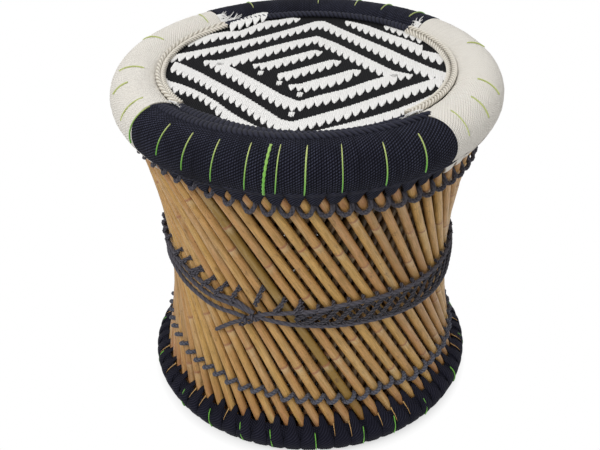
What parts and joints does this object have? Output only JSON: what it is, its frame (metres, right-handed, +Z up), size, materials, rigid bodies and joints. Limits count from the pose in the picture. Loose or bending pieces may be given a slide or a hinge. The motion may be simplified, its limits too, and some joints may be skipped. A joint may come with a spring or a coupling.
{
  "type": "mudda stool",
  "caption": "Round hourglass stool of crossed reed canes lashed with dark cord, between corded rim and base rolls, with a woven cord seat in a traditional diamond pattern.",
  "frame": {"origin": "centre of the base on the floor, below the middle of the bounding box", "axes": "+Z up along the stool's axis, -Y towards the black front of the rim, +X to its right"},
  "size_m": [0.3987, 0.3983, 0.3796],
  "materials": {
    "reed": "dry sarkanda reed, satin skin with knuckles, tan to olive and reddish",
    "grass_bundle": "rough dry grass and reed offcuts, hidden inside the rolls",
    "black_cord": "fine twisted synthetic cord, near black with a navy cast, slight sheen",
    "cream_cord": "fine twisted cotton-like cord, cream, matte",
    "white_cord": "twisted cord floats, off-white, soft sheen",
    "grey_cord": "laid polypropylene twine, dark grey with violet and green flecks",
    "green_cord": "single lime green marker strand"
  },
  "bodies": {
    "root": {"rim_core_hoop": "grass_bundle", "rim_wrap_front_black": "black_cord", "rim_wrap_right_cream": "cream_cord", "rim_wrap_back_black": "black_cord", "rim_wrap_left_cream": "cream_cord", "outer_canes_01": "reed", "outer_canes_02": "reed", "outer_canes_03": "reed", "outer_canes_04": "reed", "outer_canes_05": "reed", "outer_canes_06": "reed", "outer_canes_07": "reed", "outer_canes_08": "reed", "outer_canes_09": "reed", "outer_canes_10": "reed", "outer_canes_11": "reed", "outer_canes_12": "reed", "outer_canes_13": "reed", "outer_canes_14": "reed", "outer_canes_15": "reed", "outer_canes_16": "reed", "inner_canes_01": "reed", "inner_canes_02": "reed", "inner_canes_03": "reed", "inner_canes_04": "reed", "inner_canes_05": "reed", "inner_canes_06": "reed", "inner_canes_07": "reed", "inner_canes_08": "reed", "inner_canes_09": "reed", "inner_canes_10": "reed", "inner_canes_11": "reed", "inner_canes_12": "reed", "inner_canes_13": "reed", "inner_canes_14": "reed", "inner_canes_15": "reed", "inner_canes_16": "reed", "base_core_hoop": "grass_bundle", "base_wrap": "black_cord", "base_wrap_points": "black_cord", "top_lashing": "grey_cord", "bottom_lashing": "grey_cord", "waist_upper_cord": "grey_cord", "waist_lower_cord": "grey_cord", "waist_braid": "grey_cord", "seat_mat": "black_cord", "seat_outer_diamond": "white_cord", "seat_inner_diamond": "white_cord", "seat_bar_1": "white_cord", "seat_bar_2": "white_cord", "seat_bar_3": "white_cord", "seat_band_back_left": "white_cord", "seat_band_back_right": "white_cord", "seat_band_front_left": "white_cord", "seat_band_front_right": "white_cord", "seat_border_front_black": "black_cord", "seat_border_right_cream": "cream_cord", "seat_border_back_black": "black_cord", "seat_border_left_cream": "cream_cord"}
  },
  "joints": []
}
